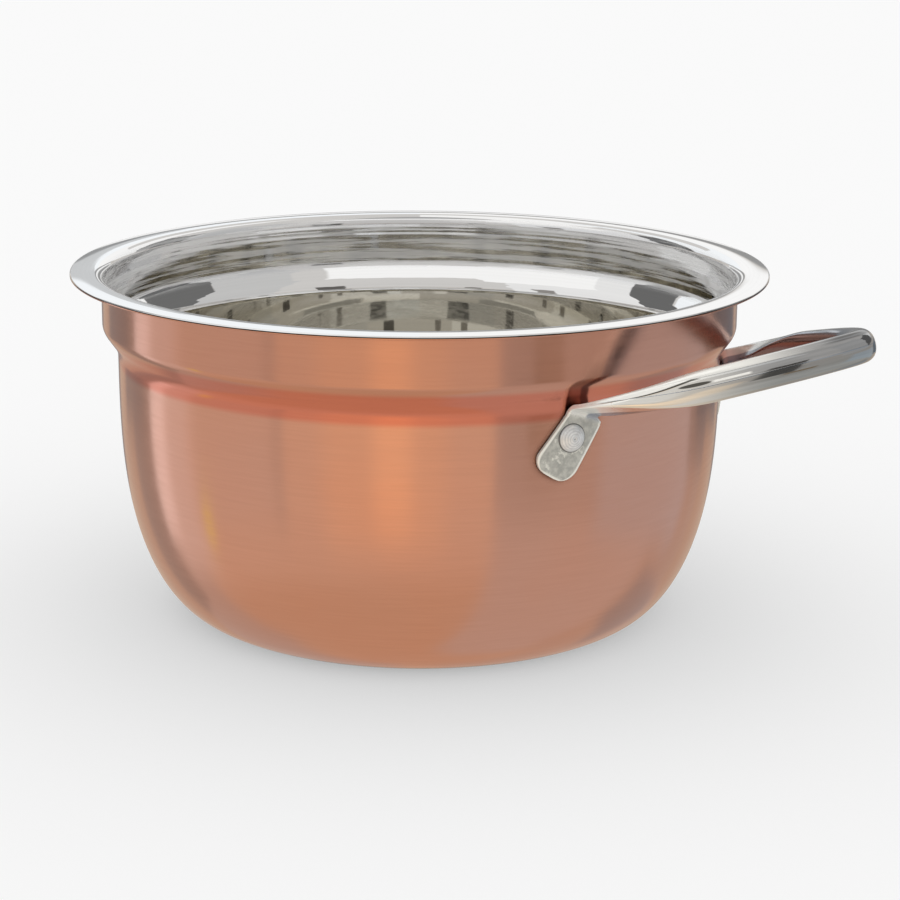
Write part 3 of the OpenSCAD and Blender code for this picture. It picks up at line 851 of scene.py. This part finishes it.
def studio_world():
    world = bpy.data.worlds.new("studio")
    world.use_nodes = True
    n = Nodes(world.node_tree)
    direction = n.add("ShaderNodeTexCoord").outputs["Generated"]
    turned = n.add("ShaderNodeVectorRotate", direction, (0, 0, 0), (0, 0, 1), -AZIMUTH,
                   rotation_type="AXIS_ANGLE").outputs[0]
    x, y, z = n.axes(turned)
    degrees = 180 / math.pi
    swing = n.times(n.math("ARCTAN2", x, n.times(y, -1.0)), degrees)
    lift = n.times(n.math("ARCSINE", z), degrees)
    wave = n.add("ShaderNodeTexNoise", direction, None, WAVER_SCALE, 2.0).outputs["Color"]
    waves = n.add("ShaderNodeSeparateColor", wave).outputs
    high_up = n.ramp(lift, *WAVER_ABOVE)

    def wavered(angle, wave, reach):
        return n.math("ADD", angle, n.times(high_up, n.times(n.math("SUBTRACT", wave, 0.5), reach)))
    swing = wavered(swing, waves[0], WAVER_SIDE)
    lift = wavered(lift, waves[1], WAVER_UP)
    sky = grey(SKY)
    for left, right, low, high, soft, level, warm in CARDS:
        inside = n.times(n.window(swing, left, right, soft), n.window(lift, low, high, soft))
        sky = n.mix(inside, sky, grey(level, warm))
    leaf = n.times(n.window(swing, *LEAF_SIDE, LEAF_SOFT), n.window(lift, *LEAF_UP, LEAF_SOFT))
    sky = n.mix(leaf, sky, LEAF_YELLOW)
    path = n.add("ShaderNodeLightPath").outputs
    plain = n.mix(path["Is Camera Ray"], grey(BACKDROP), grey(FILL))
    background = world.node_tree.nodes["Background"]
    n.put(background.inputs["Color"], n.mix(path["Is Glossy Ray"], plain, sky))
    background.inputs["Strength"].default_value = 1.0
    return world


scene.world = studio_world()

# ---------------------------------------------------------------- floor
FLOOR_SIZE, FLOOR_DROP = 8.0, 0.0004
FLOOR_WHITE, FLOOR_GLOW, GLOW_SHARE = (0.96, 0.96, 0.96, 1), (0.97, 0.97, 0.97, 1), 0.45


def pale_floor():
    """Matt white that takes the shadow. Mirrors don't see it; to the camera it glows a little."""
    mat = bpy.data.materials.new("pale_floor")
    mat.use_nodes = True
    n = Nodes(mat.node_tree)
    matte = n.add("ShaderNodeBsdfDiffuse", FLOOR_WHITE).outputs[0]
    clear = n.add("ShaderNodeBsdfTransparent").outputs[0]
    pale = n.add("ShaderNodeEmission", FLOOR_GLOW, 1.0).outputs[0]
    seen = n.add("ShaderNodeLightPath").outputs
    lit = n.add("ShaderNodeMixShader", n.times(seen["Is Camera Ray"], GLOW_SHARE), matte, pale)
    blend = n.add("ShaderNodeMixShader", seen["Is Glossy Ray"], lit.outputs[0], clear)
    n.put(mat.node_tree.nodes["Material Output"].inputs["Surface"], blend.outputs[0])
    return mat


bpy.ops.mesh.primitive_plane_add(size=FLOOR_SIZE, location=(0, 0, -FLOOR_DROP))
floor = bpy.context.object
floor.name = "floor"
floor.data.materials.append(pale_floor())

# ---------------------------------------------------------------- the photograph's camera
AIM = Vector((0, 0, 0.060))
DISTANCE, ELEVATION, ROLL = 0.700, 0.242427, math.radians(0.2464)
FOCAL_PX, CENTRE_X, CENTRE_Y, FRAME_PX, SENSOR_MM = 2261.75, 419.06, 407.71, 900, 36.0
right = Vector((math.cos(AZIMUTH), math.sin(AZIMUTH), 0))
back = Vector((math.sin(AZIMUTH) * math.cos(ELEVATION), -math.cos(AZIMUTH) * math.cos(ELEVATION),
               math.sin(ELEVATION)))
upward = back.cross(right)
cam_x = right * math.cos(ROLL) + upward * math.sin(ROLL)
cam_y = upward * math.cos(ROLL) - right * math.sin(ROLL)
spot = AIM + back * DISTANCE
cam_data = bpy.data.cameras.new("camera")
cam_data.sensor_fit, cam_data.sensor_width = "HORIZONTAL", SENSOR_MM
cam_data.lens = FOCAL_PX * SENSOR_MM / FRAME_PX
cam_data.shift_x = (FRAME_PX / 2 - CENTRE_X) / FRAME_PX
cam_data.shift_y = (CENTRE_Y - FRAME_PX / 2) / FRAME_PX
cam_data.clip_start, cam_data.clip_end = 0.02, 30
camera = bpy.data.objects.new("camera", cam_data)
scene.collection.objects.link(camera)
camera.matrix_world = Matrix(((cam_x.x, cam_y.x, back.x, spot.x),
                              (cam_x.y, cam_y.y, back.y, spot.y),
                              (cam_x.z, cam_y.z, back.z, spot.z),
                              (0, 0, 0, 1)))
scene.camera = camera
scene.view_settings.view_transform = "Standard"
